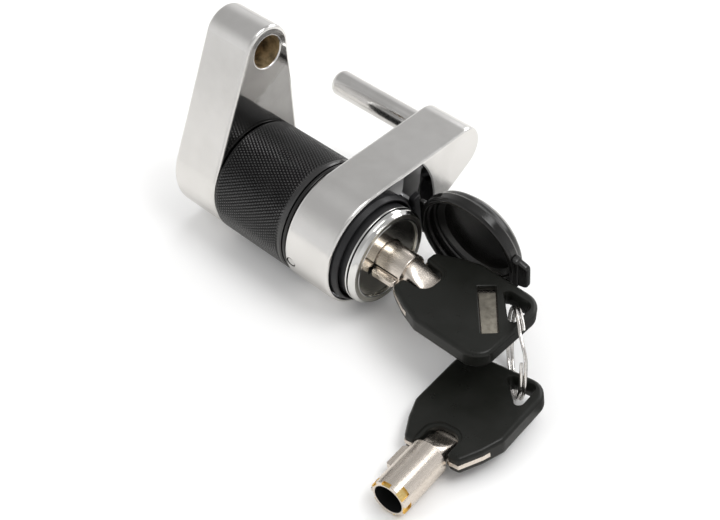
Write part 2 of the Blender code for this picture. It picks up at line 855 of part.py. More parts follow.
def clear_scene():
    for obj in list(bpy.data.objects):
        bpy.data.objects.remove(obj, do_unlink=True)


def main():
    clear_scene()
    build_receiver_arm()
    build_spindle()
    build_sleeve()
    build_thrust_ring()
    build_lock_arm()
    build_latch_pin()
    build_cylinder_pin()
    build_lock_cylinder()
    build_driver_block()
    build_plug()
    build_plug_post()
    build_tail_cam()
    build_tail_clip()
    build_locking_ball(1, 1.0)
    build_locking_ball(2, -1.0)
    for i in range(CHAMBERS):
        build_pin_stack(i)
    build_cover_ring()
    build_dust_cover()
    build_key("key_1", (KEY_1_TIP_X, 0.0, 0.0), (1, 0, 0), (0, 1, 0), (KEY_1_TIP_X, 0.0, 0.0))
    u, w = key_2_axes()
    build_key("key_2", KEY_2_TIP, u, w, RING_CENTRE)
    build_split_ring()


main()
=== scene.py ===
"""Looks of the trailer coupler lock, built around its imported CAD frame."""

import math

import bmesh
import bpy
from mathutils import Matrix, Vector


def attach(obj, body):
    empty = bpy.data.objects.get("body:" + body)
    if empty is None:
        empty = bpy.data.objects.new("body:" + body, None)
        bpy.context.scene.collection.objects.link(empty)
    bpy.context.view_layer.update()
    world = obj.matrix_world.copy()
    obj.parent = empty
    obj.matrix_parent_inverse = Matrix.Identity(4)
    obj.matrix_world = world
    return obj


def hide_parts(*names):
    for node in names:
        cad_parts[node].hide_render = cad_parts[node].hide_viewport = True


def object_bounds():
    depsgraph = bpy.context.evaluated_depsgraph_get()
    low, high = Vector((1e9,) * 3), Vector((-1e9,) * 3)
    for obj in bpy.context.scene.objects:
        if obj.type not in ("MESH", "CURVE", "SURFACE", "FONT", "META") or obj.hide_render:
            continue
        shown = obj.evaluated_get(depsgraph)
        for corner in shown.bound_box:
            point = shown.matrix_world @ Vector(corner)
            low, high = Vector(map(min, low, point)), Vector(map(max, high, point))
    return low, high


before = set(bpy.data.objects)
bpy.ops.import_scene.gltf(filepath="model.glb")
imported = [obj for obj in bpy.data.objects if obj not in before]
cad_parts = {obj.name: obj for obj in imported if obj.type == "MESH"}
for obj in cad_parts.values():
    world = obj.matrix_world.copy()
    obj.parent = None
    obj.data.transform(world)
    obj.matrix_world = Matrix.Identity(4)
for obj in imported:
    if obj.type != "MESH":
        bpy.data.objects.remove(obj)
cad_box = [list(corner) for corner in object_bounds()]

MM = 0.001

# Main sizes of the frame, in millimetres. The barrel lies along X and starts at the receiver arm's
# outer face; angles are in degrees about X, from +Y towards +Z.
ARM_CENTRES = 32.3
RECEIVER_X = (0.0, 13.5)
RECEIVER_R = (13.9, 6.3)
RECEIVER_ANGLE = 80.0
LOCK_X = (36.7, 49.7)
LOCK_R = (14.2, 6.0)
LOCK_ANGLE = 14.7
EDGE_ROUND = 0.8
GAP = 0.3
AXIS_R = 0.02
FLOOR_X = 44.9
POCKET_WALL = 0.9
SCALLOP_R = 21.4
SLEEVE_R = 14.0
SLEEVE_X = (13.8, 35.2)
THRUST_X = (35.5, 36.4)
SPINDLE_R = 9.5
SPINDLE_SEAT = 10.3
PIN_R = 3.175
PIN_TIP_X = 10.2
PIN_SEAT = 10.0
HOLE_R = 3.9
HOLE_DEPTH = 9.5
HOLE_LIP = 0.35
NOSE_R = 6.4
NOSE_X = 27.0
BARREL_R = 8.9
SOCKET_DEPTH = 3.0
RING_R = 11.7
BEVEL_X = 53.6
FRONT_X = 55.1
LINE_R = 10.95
RECESS_R = 9.4
RECESS_X = 54.6
KEYWAY_R = 4.6
CORE_R = 5.3
CORE_X = 48.6
RETAINER_R = 1.0
RETAINER_X = 38.6
RETAINER_ANGLE = 188.0
HINGE_X = 52.6
HINGE_R = 13.5
HINGE_ANGLE = 7.8
COVER_OPEN = 91.0
COVER_DEPTH = 6.2
COVER_BEAD_R = 13.1
COVER_INNER_R = 11.8
COVER_WALL = 1.3
CHAMBERS = 7
CHAMBER_PITCH_R = 3.8
CHAMBER_START = 64.0
CUTS = (0.9, 1.3, 0.7, 1.0, 0.4, 1.6, 1.4)
TUBE_R = 4.25
TUBE_BORE_R = 3.3
TUBE_LENGTH = 13.5
PLATE_HALF = 0.5
NECK_START = TUBE_LENGTH - 0.8
NECK_END = 19.6
NECK_R = 3.35
NECK_HALF = 2.75
PLATE_START = 19.4
BOW_START = 14.0
BOW_SHOULDER = (18.8, 9.3)
BOW_FLARE = 23.6
BOW_END = 41.3
BOW_EAR = 6.7
BOW_HALF = 11.1
BOW_THICK = 4.3
BOW_ROUND = 1.0
NOTCH_HALF = 3.6
NOTCH_END = 20.2
WINDOW = ((27.4, 5.0), (30.4, 7.9), (39.1, -2.2), (36.5, -4.9))
KEY_1_TIP = (48.3, 0.0, 0.0)
KEY_2_TIP = (92.7, -41.9, -9.95)
KEY_2_TURN = (-3.9, 0.5, 9.5)
RING_CENTRE = (90.47, 0.59, -4.3)
RING_HEADING = -45.1
RING_MEAN_R = 9.5
WIRE_R = 0.38
TURN_GAP = 0.12

# Camera and stage, in metres
CAMERA_AT = (0.18646, -0.15086, 0.19877)
CAMERA_TO = (0.050715, -0.004636, 0.0)
CAMERA_LENS = 64.2145
CAMERA_SENSOR = 36.0
STAGE_MIDDLE = (0.045, -0.005, 0.0)

# Floor, in millimetres: how far below the lowest point of the CAD it lies, and half its width
FLOOR_DROP = 0.05
FLOOR_HALF = 3000.0


# ---------------------------------------------------------------- node materials


class Shader:
    """A Principled material and short ways to add nodes to it."""

    def __init__(self, name, colour, metallic, roughness):
        self.mat = bpy.data.materials.new(name)
        self.mat.use_nodes = True
        self.tree = self.mat.node_tree
        self.main = self.tree.nodes["Principled BSDF"]
        self.main.inputs["Metallic"].default_value = metallic
        self.main.inputs["Roughness"].default_value = roughness
        self.main.inputs["Base Color"].default_value = (*colour, 1.0)
        self.place = self.node("ShaderNodeTexCoord").outputs["Object"]
        self.bump_link = None

    def node(self, kind):
        return self.tree.nodes.new(kind)

    def link(self, a, b):
        self.tree.links.new(a, b)

    def stretched(self, scale):
        mapping = self.node("ShaderNodeMapping")
        mapping.inputs["Scale"].default_value = scale
        self.link(self.place, mapping.inputs["Vector"])
        return mapping.outputs["Vector"]

    def noise(self, scale, detail=4.0, rough=0.55, vector=None):
        """Noise in object space; scale is in cells a metre."""
        node = self.node("ShaderNodeTexNoise")
        node.inputs["Scale"].default_value = scale
        node.inputs["Detail"].default_value = detail
        node.inputs["Roughness"].default_value = rough
        self.link(vector or self.place, node.inputs["Vector"])
        return node.outputs["Fac"]

    def spread(self, value, low, high, to_low, to_high):
        """Map a value's range to another one, clamped."""
        node = self.node("ShaderNodeMapRange")
        node.inputs["From Min"].default_value = low
        node.inputs["From Max"].default_value = high
        node.inputs["To Min"].default_value = to_low
        node.inputs["To Max"].default_value = to_high
        self.link(value, node.inputs["Value"])
        return node.outputs["Result"]

    def mix(self, factor, a, b):
        """Colour between a and b, which are colours or sockets."""
        node = self.node("ShaderNodeMix")
        node.data_type = "RGBA"
        self.link(factor, node.inputs["Factor"])
        for socket, value in ((node.inputs[6], a), (node.inputs[7], b)):
            if isinstance(value, tuple):
                socket.default_value = (*value, 1.0)
            else:
                self.link(value, socket)
        return node.outputs[2]

    def colour(self, socket):
        self.link(socket, self.main.inputs["Base Color"])

    def rough(self, socket):
        self.link(socket, self.main.inputs["Roughness"])

    def bump(self, height, strength, distance):
        """Add a bump layer; distance is in metres."""
        node = self.node("ShaderNodeBump")
        node.inputs["Strength"].default_value = strength
        node.inputs["Distance"].default_value = distance
        self.link(height, node.inputs["Height"])
        if self.bump_link is not None:
            self.link(self.bump_link, node.inputs["Normal"])
        self.bump_link = node.outputs["Normal"]
        self.link(self.bump_link, self.main.inputs["Normal"])


def plated(name, light, dark, rough, waviness, metallic=1.0, clouds=90.0):
    """Polished plating: faint tarnish clouds, smudges, hairlines and a slight orange peel."""
    s = Shader(name, light, metallic, rough[0])
    s.colour(s.mix(s.spread(s.noise(clouds, 5.0), 0.4, 0.75, 0.0, 1.0), light, dark))
    s.rough(s.spread(s.noise(260.0, 6.0, 0.65), 0.35, 0.75, rough[0], rough[1]))
    s.bump(s.noise(160.0, 2.0), waviness, 0.0006)
    s.bump(s.noise(2600.0, 3.0, 0.6), waviness * 0.6, 0.00003)
    return s.mat


def brushed(name, light, dark, rough, direction):
    """Drawn or turned metal: fine lines along one object axis."""
    s = Shader(name, light, 1.0, rough[0])
    lines = s.noise(1.0, 3.0, 0.6, s.stretched(direction))
    s.colour(s.mix(s.spread(lines, 0.35, 0.7, 0.0, 1.0), light, dark))
    s.rough(s.spread(lines, 0.3, 0.7, rough[0], rough[1]))
    s.bump(lines, 0.25, 0.00003)
    s.bump(s.noise(420.0, 3.0), 0.12, 0.0001)
    return s.mat


def moulded(name, colour, worn, rough, grain, gloss=0.3):
    """Moulded plastic or painted metal: fine grain, dull and shiny patches, faint scuffs."""
    s = Shader(name, colour, 0.0, rough[0])
    s.main.inputs["Specular IOR Level"].default_value = gloss
    patches = s.noise(140.0, 5.0, 0.6)
    s.colour(s.mix(s.spread(patches, 0.45, 0.8, 0.0, 1.0), colour, worn))
    s.rough(s.spread(s.noise(330.0, 6.0, 0.7), 0.3, 0.75, rough[0], rough[1]))
    s.bump(s.noise(5200.0, 3.0, 0.6), grain, 0.00004)
    s.bump(s.noise(210.0, 2.0), 0.15, 0.0002)
    return s.mat


def turned_face(name, light, dark, rough):
    """Plated metal with concentric turning lines about the barrel axis."""
    s = Shader(name, light, 1.0, rough[0])
    split = s.node("ShaderNodeSeparateXYZ")
    s.link(s.place, split.inputs["Vector"])
    flat = s.node("ShaderNodeCombineXYZ")
    s.link(split.outputs["Y"], flat.inputs["Y"])
    s.link(split.outputs["Z"], flat.inputs["Z"])
    length = s.node("ShaderNodeVectorMath")
    length.operation = "LENGTH"
    s.link(flat.outputs["Vector"], length.inputs[0])
    lines = s.node("ShaderNodeTexNoise")
    lines.noise_dimensions = "1D"
    lines.inputs["Scale"].default_value = 5200.0
    lines.inputs["Detail"].default_value = 3.0
    s.link(length.outputs["Value"], lines.inputs["W"])
    s.colour(s.mix(s.spread(lines.outputs["Fac"], 0.3, 0.7, 0.0, 1.0), light, dark))
    s.rough(s.spread(s.noise(500.0, 5.0), 0.3, 0.7, rough[0], rough[1]))
    s.bump(lines.outputs["Fac"], 0.5, 0.00003)
    return s.mat


def make_materials():
    m = {}
    m["chrome"] = plated("chrome_plate", (0.83, 0.82, 0.81), (0.76, 0.75, 0.735), (0.19, 0.27), 0.07)
    m["mirror"] = plated("chrome_mirror", (0.62, 0.62, 0.63), (0.5, 0.5, 0.5), (0.025, 0.07), 0.05)
    # The receiver arm's inner face: the same chrome painted darker, as a painted reflection of darker
    # surroundings.
    m["inner_face"] = plated("chrome_inner_painted_dark", (0.4, 0.395, 0.39), (0.3, 0.295, 0.29), (0.04, 0.1), 0.08)
    m["pin_chrome"] = plated("pin_chrome", (0.8, 0.79, 0.78), (0.7, 0.69, 0.67), (0.1, 0.2), 0.08)
    m["lock_chrome"] = plated("lock_chrome", (0.82, 0.82, 0.81), (0.74, 0.74, 0.72), (0.08, 0.15), 0.015)
    m["lock_face"] = turned_face("lock_face", (0.6, 0.59, 0.54), (0.42, 0.41, 0.37), (0.3, 0.42))
    m["recess_floor"] = turned_face("recess_floor", (0.66, 0.64, 0.58), (0.5, 0.48, 0.43), (0.12, 0.22))
    m["cast"] = plated("cast_bore", (0.62, 0.48, 0.28), (0.04, 0.03, 0.02), (0.35, 0.6), 0.8, 0.6, 420.0)
    m["steel"] = brushed(
        "bright_steel", (0.62, 0.62, 0.62), (0.48, 0.48, 0.48), (0.22, 0.36), (900.0, 5200.0, 5200.0)
    )
    m["wire"] = brushed(
        "ring_steel", (0.86, 0.84, 0.82), (0.7, 0.67, 0.64), (0.08, 0.18), (1500.0, 1500.0, 4200.0)
    )
    m["nickel"] = brushed(
        "satin_nickel", (0.82, 0.75, 0.68), (0.7, 0.63, 0.56), (0.2, 0.32), (700.0, 5200.0, 5200.0)
    )
    m["nickel_cross"] = brushed(
        "satin_nickel_cross", (0.82, 0.75, 0.68), (0.7, 0.63, 0.56), (0.2, 0.32), (5200.0, 700.0, 5200.0)
    )
    m["tag"] = plated("stamped_tag", (0.42, 0.39, 0.33), (0.24, 0.22, 0.185), (0.3, 0.48), 0.5, 1.0, 900.0)
    m["brass"] = brushed(
        "brass", (0.85, 0.66, 0.3), (0.72, 0.52, 0.2), (0.3, 0.45), (5200.0, 1300.0, 1300.0)
    )
    m["bore_black"] = moulded("bore_black", (0.006, 0.006, 0.006), (0.012, 0.012, 0.012), (0.5, 0.7), 0.1)
    m["black_metal"] = moulded(
        "black_oxide", (0.006, 0.006, 0.0063), (0.014, 0.014, 0.014), (0.12, 0.22), 0.06, 1.0
    )
    m["bow_plastic"] = moulded(
        "bow_plastic", (0.009, 0.0095, 0.008), (0.014, 0.0145, 0.013), (0.26, 0.4), 0.12, 0.26
    )
    m["cover_plastic"] = moulded(
        "cover_plastic", (0.006, 0.0058, 0.0055), (0.011, 0.0105, 0.01), (0.14, 0.26), 0.04, 0.5
    )
    # Black ring plastic; it also serves as painted shade on the lock cylinder's skirt and groove.
    m["ring_plastic_and_painted_shade"] = moulded("ring_plastic_and_painted_shade", (0.014, 0.014, 0.015), (0.03, 0.03, 0.032), (0.3, 0.5), 0.2)
    return m


# ---------------------------------------------------------------- mesh helpers


def loft(loops, closed=False):
    """Skin a list of point loops; cap both ends, or close the skin on itself."""
    bm = bmesh.new()
    rings = [[bm.verts.new(p) for p in loop] for loop in loops]
    pairs = list(zip(rings, rings[1:]))
    if closed:
        pairs.append((rings[-1], rings[0]))
    count = len(rings[0])
    for a, b in pairs:
        for i in range(count):
            j = (i + 1) % count
            bm.faces.new((a[i], a[j], b[j], b[i]))
    if not closed:
        bm.faces.new(rings[0][::-1])
        bm.faces.new(rings[-1])
    return bm


def circle(x, radius, segments, centre=(0.0, 0.0)):
    """Points round a circle that faces along X."""
    points = []
    for i in range(segments):
        a = 2 * math.pi * i / segments
        points.append((x, centre[0] + radius * math.cos(a), centre[1] + radius * math.sin(a)))
    return points


def turned(profile, segments=128, centre=(0.0, 0.0), closed=False):
    """Solid of revolution about X from a list of (x, radius)."""
    return loft([circle(x, r, segments, centre) for x, r in profile], closed)


def polar(radius, degrees):
    """Flat coordinates of a point at an angle."""
    a = math.radians(degrees)
    return radius * math.cos(a), radius * math.sin(a)


def fillet(corners, closed=True, steps=5):
    """Round the corners of a line of (a, b, radius)."""
    result = []
    last = len(corners) - 1
    for i, (a, b, radius) in enumerate(corners):
        here = Vector((a, b))
        if not radius or (not closed and i in (0, last)):
            result.append((a, b))
            continue
        before = Vector(corners[i - 1][:2]) - here
        after = Vector(corners[(i + 1) % (last + 1)][:2]) - here
        half = before.angle(after) / 2
        reach = min(radius / math.tan(half), 0.48 * before.length, 0.48 * after.length)
        before.normalize()
        after.normalize()
        middle = (before + after).normalized()
        centre = here + middle * (reach / math.cos(half))
        first = here + before * reach - centre
        final = here + after * reach - centre
        sweep = first.angle_signed(final)
        for k in range(steps + 1):
            turn = Matrix.Rotation(-sweep * k / steps, 2)
            p = centre + turn @ first
            result.append((p.x, p.y))
    return result


def inset_outline(outline, amount):
    """Move each side of an outline inward by amount, or outward if it is negative."""
    if not amount:
        return list(outline)
    points = [Vector(p) for p in outline]
    area = sum(a.cross(b) for a, b in zip(points, points[1:] + points[:1]))
    turn = 1.0 if area > 0 else -1.0
    result = []
    for i, here in enumerate(points):
        before = (here - points[i - 1]).normalized()
        after = (points[(i + 1) % len(points)] - here).normalized()
        side_a = Vector((-before.y, before.x)) * turn
        side_b = Vector((-after.y, after.x)) * turn
        mid = side_a + side_b
        result.append(here + mid * (amount / max(0.3, 1.0 + side_a.dot(side_b))))
    return [(p.x, p.y) for p in result]


def prism(outline, low, high, matrix=None, rounding=0.0, steps=5):
    """Extrude an outline of (u, w) along n, with rounded edges where asked."""
    levels = [(low, 0.0), (high, 0.0)]
    if rounding:
        levels = []
        for k in range(steps + 1):
            a = math.pi / 2 * k / steps
            levels.append((low + rounding * (1 - math.cos(a)), rounding * (1 - math.sin(a))))
        levels += [(low + high - n, inset) for n, inset in reversed(levels)]
    bm = loft([[(u, w, n) for u, w in inset_outline(outline, inset)] for n, inset in levels])
    if matrix is not None:
        bm.transform(matrix)
    return bm


def flared(outline, levels, matrix=None):
    """Loft of one outline at several (n, growth) levels, for cutters with a lip."""
    bm = loft([[(u, w, n) for u, w in inset_outline(outline, -g)] for n, g in levels])
    if matrix is not None:
        bm.transform(matrix)
    return bm


def box(low, high):
    """Block between two opposite corners."""
    (x0, y0, z0), (x1, y1, z1) = low, high
    return loft([[(x, y0, z0), (x, y1, z0), (x, y1, z1), (x, y0, z1)] for x in (x0, x1)])


def frame_matrix(origin, u, w):
    """Matrix that takes local (u, w, n) to the world, with n = u x w."""
    u = Vector(u).normalized()
    w = Vector(w).normalized()
    n = u.cross(w)
    return Matrix.Translation(origin) @ Matrix((u, w, n)).transposed().to_4x4()


def raw_object(name, bm, materials):
    """Object from a bmesh in millimetres."""
    bm.normal_update()
    bmesh.ops.recalc_face_normals(bm, faces=bm.faces)
    bmesh.ops.scale(bm, verts=bm.verts, vec=(MM, MM, MM))
    mesh = bpy.data.meshes.new(name)
    bm.to_mesh(mesh)
    bm.free()
    for mat in materials:
        mesh.materials.append(mat)
    obj = bpy.data.objects.new(name, mesh)
    bpy.context.scene.collection.objects.link(obj)
    return obj


def carve(obj, tools):
    """Apply Booleans, each tool given as (bmesh, operation, material or None)."""
    for bm, operation, mat in tools:
        tool = raw_object("tool", bm, [mat] if mat else list(obj.data.materials)[:1])
        mod = obj.modifiers.new("carve", "BOOLEAN")
        mod.operation = operation
        mod.object = tool
        mod.solver = "EXACT"
        mod.material_mode = "TRANSFER"
        bpy.context.view_layer.update()
        depsgraph = bpy.context.evaluated_depsgraph_get()
        mesh = bpy.data.meshes.new_from_object(obj.evaluated_get(depsgraph))
        obj.modifiers.clear()
        old = obj.data
        obj.data = mesh
        bpy.data.meshes.remove(old)
        bpy.data.objects.remove(tool, do_unlink=True)


def weld(mesh, distance=1e-6):
    """Merge the doubled corners that a Boolean leaves behind."""
    bm = bmesh.new()
    bm.from_mesh(mesh)
    bmesh.ops.remove_doubles(bm, verts=bm.verts, dist=distance)
    bmesh.ops.dissolve_degenerate(bm, dist=distance * 0.1, edges=bm.edges)
    bm.to_mesh(mesh)
    bm.free()


def piece(name, bm, materials, body, nodes, tools=(), angle=32.0):
    """A visible piece: carved, smooth-shaded, riding on its body in place of its CAD nodes."""
    obj = raw_object(name, bm, materials)
    carve(obj, tools)
    if tools:
        weld(obj.data)
    obj.data.name = name
    obj.data.shade_smooth()
    obj.data.set_sharp_from_angle(angle=math.radians(angle))
    weighted = obj.modifiers.new("weighted_normal", "WEIGHTED_NORMAL")
    weighted.keep_sharp = True
    weighted.weight = 100
    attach(obj, body)
    if nodes:
        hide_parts(*nodes)


# ---------------------------------------------------------------- arms


def teardrop(radii, angle, inset=0.0, big_steps=96, small_steps=48):
    """Two arcs joined by their outer tangents, pointing along angle, in (y, z)."""
    big, small = radii
    tangent = math.acos((big - small) / ARM_CENTRES)
    points = []
    for i in range(big_steps + 1):
        a = tangent + (2 * math.pi - 2 * tangent) * i / big_steps
        points.append(polar(big - inset, math.degrees(a)))
    for i in range(small_steps + 1):
        y, z = polar(small - inset, math.degrees(-tangent + 2 * tangent * i / small_steps))
        points.append((ARM_CENTRES + y, z))
    c, s = polar(1.0, angle)
    return [(y * c - z * s, y * s + z * c) for y, z in points]


def arm_solid(radii, angle, low, high, steps=7):
    """Teardrop plate with rounded edges on both faces."""
    loops = []
    for end, sign in ((low, 1.0), (high, -1.0)):
        stretch = []
        for i in range(steps + 1):
            a = math.pi / 2 * i / steps
            inset = EDGE_ROUND * (1.0 - math.sin(a))
            depth = EDGE_ROUND * (1.0 - math.cos(a))
            stretch.append([(end + sign * depth, y, z) for y, z in teardrop(radii, angle, inset)])
        loops += stretch if sign > 0 else stretch[::-1]
    return loft(loops)


def paint_face(bm, x, slot):
    """Give the flat end of an arm its own material; only the two ends have many corners."""
    for face in bm.faces:
        if len(face.verts) > 4 and abs(face.verts[0].co.x - x) < GAP:
            face.material_index = slot


def lip(x, radius, steps=4):
    """Profile of a cutter for a hole's mouth at x, which rounds its edge."""
    profile = []
    for i in range(steps + 1):
        a = math.pi / 2 * i / steps
        profile.append((x - HOLE_LIP * (1 - math.sin(a)), radius + HOLE_LIP * (1 - math.cos(a))))
    profile.append((x + 1.0, radius + HOLE_LIP))
    return profile


def build_receiver_arm(m):
    """Arm with a blind seat for the spindle and a blind hole for the latch pin's tip."""
    bm = arm_solid(RECEIVER_R, RECEIVER_ANGLE, *RECEIVER_X)
    # Slot 1, the arm's inner face, gets the darker chrome: a painted reflection.
    paint_face(bm, RECEIVER_X[1], 1)
    inner = RECEIVER_X[1]
    seat = turned([(inner - SPINDLE_SEAT, SPINDLE_R + GAP), (inner + 1, SPINDLE_R + GAP)])
    hole_centre = polar(ARM_CENTRES, RECEIVER_ANGLE)
    hole = turned([(inner - HOLE_DEPTH, HOLE_R), (inner + 1.0, HOLE_R)], 64, hole_centre)
    mouth = turned(lip(inner, HOLE_R), 64, hole_centre)
    piece(
        "arm_receiver",
        bm,
        [m["chrome"], m["inner_face"]],
        "receiver_half",
        ["receiver_arm"],
        [
            (seat, "DIFFERENCE", m["cast"]),
            (hole, "DIFFERENCE", m["cast"]),
            (mouth, "DIFFERENCE", m["chrome"]),
        ],
    )


def pocket_outline(scallop_steps=48, wall_steps=96):
    """Floor of the lock face: inside the arm's rim, cut off by a round scallop."""
    big, small = LOCK_R
    wall_r = big - POCKET_WALL
    tangent = math.degrees(math.acos((big - small) / ARM_CENTRES))
    start = tangent - math.degrees(math.acos(wall_r / SCALLOP_R))
    points = []
    for i in range(scallop_steps + 1):
        points.append(polar(SCALLOP_R, LOCK_ANGLE - start + 2 * start * i / scallop_steps))
    for i in range(wall_steps + 1):
        points.append(polar(wall_r, LOCK_ANGLE + tangent + (360 - 2 * tangent) * i / wall_steps))
    return points


def radial_bar(radius, inner, outer, x, angle, segments=32):
    """A round bar across the barrel wall, from radius inner to radius outer."""
    y, z = polar(1.0, angle)
    bm = loft(
        [
            [(u, w, n) for n, u, w in circle(inner, radius, segments)],
            [(u, w, n) for n, u, w in circle(outer, radius, segments)],
        ]
    )
    axis = Vector((0.0, y, z))
    side = Vector((1.0, 0.0, 0.0))
    matrix = Matrix((side, axis.cross(side), axis)).transposed().to_4x4()
    bm.transform(Matrix.Translation((x, 0.0, 0.0)) @ matrix)
    return bm


def build_lock_arm(m):
    """Arm with a rimmed pocket round the lock, its stepped bore and the latch pin's seat."""
    low, high = LOCK_X
    big = LOCK_R[0]
    bm = arm_solid(LOCK_R, LOCK_ANGLE, low, high)
    across = Matrix(((0, 0, 1), (1, 0, 0), (0, 1, 0))).to_4x4()
    levels = [(FLOOR_X, 0.0), (high - 0.35, 0.0), (high - 0.2, 0.05), (high - 0.08, 0.15)]
    levels += [(high, 0.35), (high + 1.0, 1.4)]
    pocket = flared(pocket_outline(), levels, across)
    bore = turned(
        [
            (low - 1, NOSE_R + GAP),
            (low + SOCKET_DEPTH, NOSE_R + GAP),
            (low + SOCKET_DEPTH, BARREL_R + GAP),
            (FLOOR_X + 1, BARREL_R + GAP),
        ]
    )
    pin_centre = polar(ARM_CENTRES, LOCK_ANGLE)
    seat = turned([(low - 1, PIN_R + GAP), (low + PIN_SEAT + GAP, PIN_R + GAP)], 48, pin_centre)
    retainer = radial_bar(RETAINER_R + GAP, NOSE_R - 0.4, big + 1.3, RETAINER_X, RETAINER_ANGLE)
    piece(
        "arm_lock",
        bm,
        [m["chrome"]],
        "lock_half",
        ["lock_arm"],
        [
            (pocket, "DIFFERENCE", m["mirror"]),
            (bore, "DIFFERENCE", m["cast"]),
            (seat, "DIFFERENCE", m["cast"]),
            (retainer, "DIFFERENCE", m["bore_black"]),
        ],
    )


def build_latch_pin(m):
    """Chromed pin, parallel to the barrel, held in the narrow end of the lock arm."""
    centre = polar(ARM_CENTRES, LOCK_ANGLE)
    low, high = PIN_TIP_X, LOCK_X[0] + PIN_SEAT
    corners = [(low, AXIS_R, 0), (low, PIN_R, 1.4), (high, PIN_R, 0.4), (high, AXIS_R, 0)]
    bm = turned(fillet(corners, closed=False, steps=8), 72, centre)
    piece("pin_latch", bm, [m["pin_chrome"]], "lock_half", ["latch_pin"])


# ---------------------------------------------------------------- sleeve

KNURL_ROUND = 110
KNURL_ROWS = 30
KNURL_X = (13.9, 34.1)
KNURL_DEPTH = 0.3
KNURL_TOP = 0.34


def build_sleeve(m):
    """Turned sleeve with a real diamond knurl: a flat-topped pyramid in each cell.

    Rows of points at the root are half a step apart, so that each point is the corner of four
    diamonds. Row j and row j + 2 hold a diamond's ends, and row j + 1 its sides.
    """
    low, high = SLEEVE_X
    bore = SPINDLE_R + GAP
    root = SLEEVE_R - KNURL_DEPTH
    step = 2 * math.pi / KNURL_ROUND
    bm = bmesh.new()

    def ring(x, radius, offset=0.0):
        verts = []
        for i in range(KNURL_ROUND):
            a = (i + offset) * step
            verts.append(bm.verts.new((x, radius * math.cos(a), radius * math.sin(a))))
        return verts

    rows = []
    for j in range(KNURL_ROWS + 1):
        x = KNURL_X[0] + (KNURL_X[1] - KNURL_X[0]) * j / KNURL_ROWS
        rows.append(ring(x, root, 0.5 * (j % 2)))

    def top_point(x, angle):
        return bm.verts.new((x, SLEEVE_R * math.cos(angle), SLEEVE_R * math.sin(angle)))

    half_x = (KNURL_X[1] - KNURL_X[0]) / KNURL_ROWS
    for j in range(KNURL_ROWS - 1):
        x = KNURL_X[0] + half_x * (j + 1)
        for i in range(KNURL_ROUND):
            a = (i + 0.5 * (j % 2)) * step
            side = i if j % 2 == 0 else (i + 1) % KNURL_ROUND
            corner = [rows[j][i], rows[j + 1][side], rows[j + 2][i], rows[j + 1][side - 1]]
            top = [
                top_point(x - half_x * KNURL_TOP, a),
                top_point(x, a + 0.5 * step * KNURL_TOP),
                top_point(x + half_x * KNURL_TOP, a),
                top_point(x, a - 0.5 * step * KNURL_TOP),
            ]
            bm.faces.new(top)
            for k in range(4):
                n = (k + 1) % 4
                bm.faces.new((corner[k], corner[n], top[n], top[k]))
    for a, b in ((0, 1), (KNURL_ROWS, KNURL_ROWS - 1)):
        for i in range(KNURL_ROUND):
            j = (i + 1) % KNURL_ROUND
            apex = rows[b][i] if b % 2 == 1 else rows[b][j]
            face = bm.faces.new((rows[a][i], rows[a][j], apex))
            face.material_index = 1 if a == 0 else 0
    start = [ring(low, r) for r in (root - 0.05, bore)]
    plain = SLEEVE_R - 0.02
    end = [ring(x, plain) for x in (KNURL_X[1] + 0.15, high - KNURL_DEPTH)]
    end += [ring(high, r) for r in (plain - KNURL_DEPTH, bore)]
    loops = list(reversed(start)) + [rows[0]]
    tail = [rows[-1]] + end
    for stretch in (loops, tail, [end[-1], start[-1]]):
        for a, b in zip(stretch, stretch[1:]):
            for i in range(KNURL_ROUND):
                j = (i + 1) % KNURL_ROUND
                bm.faces.new((a[i], a[j], b[j], b[i]))
    finish = [m["black_metal"], m["bore_black"]]
    piece("sleeve_knurled", bm, finish, "receiver_half", ["knurled_sleeve"], angle=12.0)


def build_thrust_ring(m):
    """Thin washer between the sleeve and the lock arm."""
    low, high = THRUST_X
    outer = SLEEVE_R - 0.3
    inner = NOSE_R + GAP
    corners = [(low, outer, 0.25), (high, outer, 0.25), (high, inner, 0.1), (low, inner, 0.1)]
    bm = turned(fillet(corners), 128, closed=True)
    piece("washer_thrust", bm, [m["cover_plastic"]], "turning_washer", ["thrust_ring"])


# ---------------------------------------------------------------- lock face


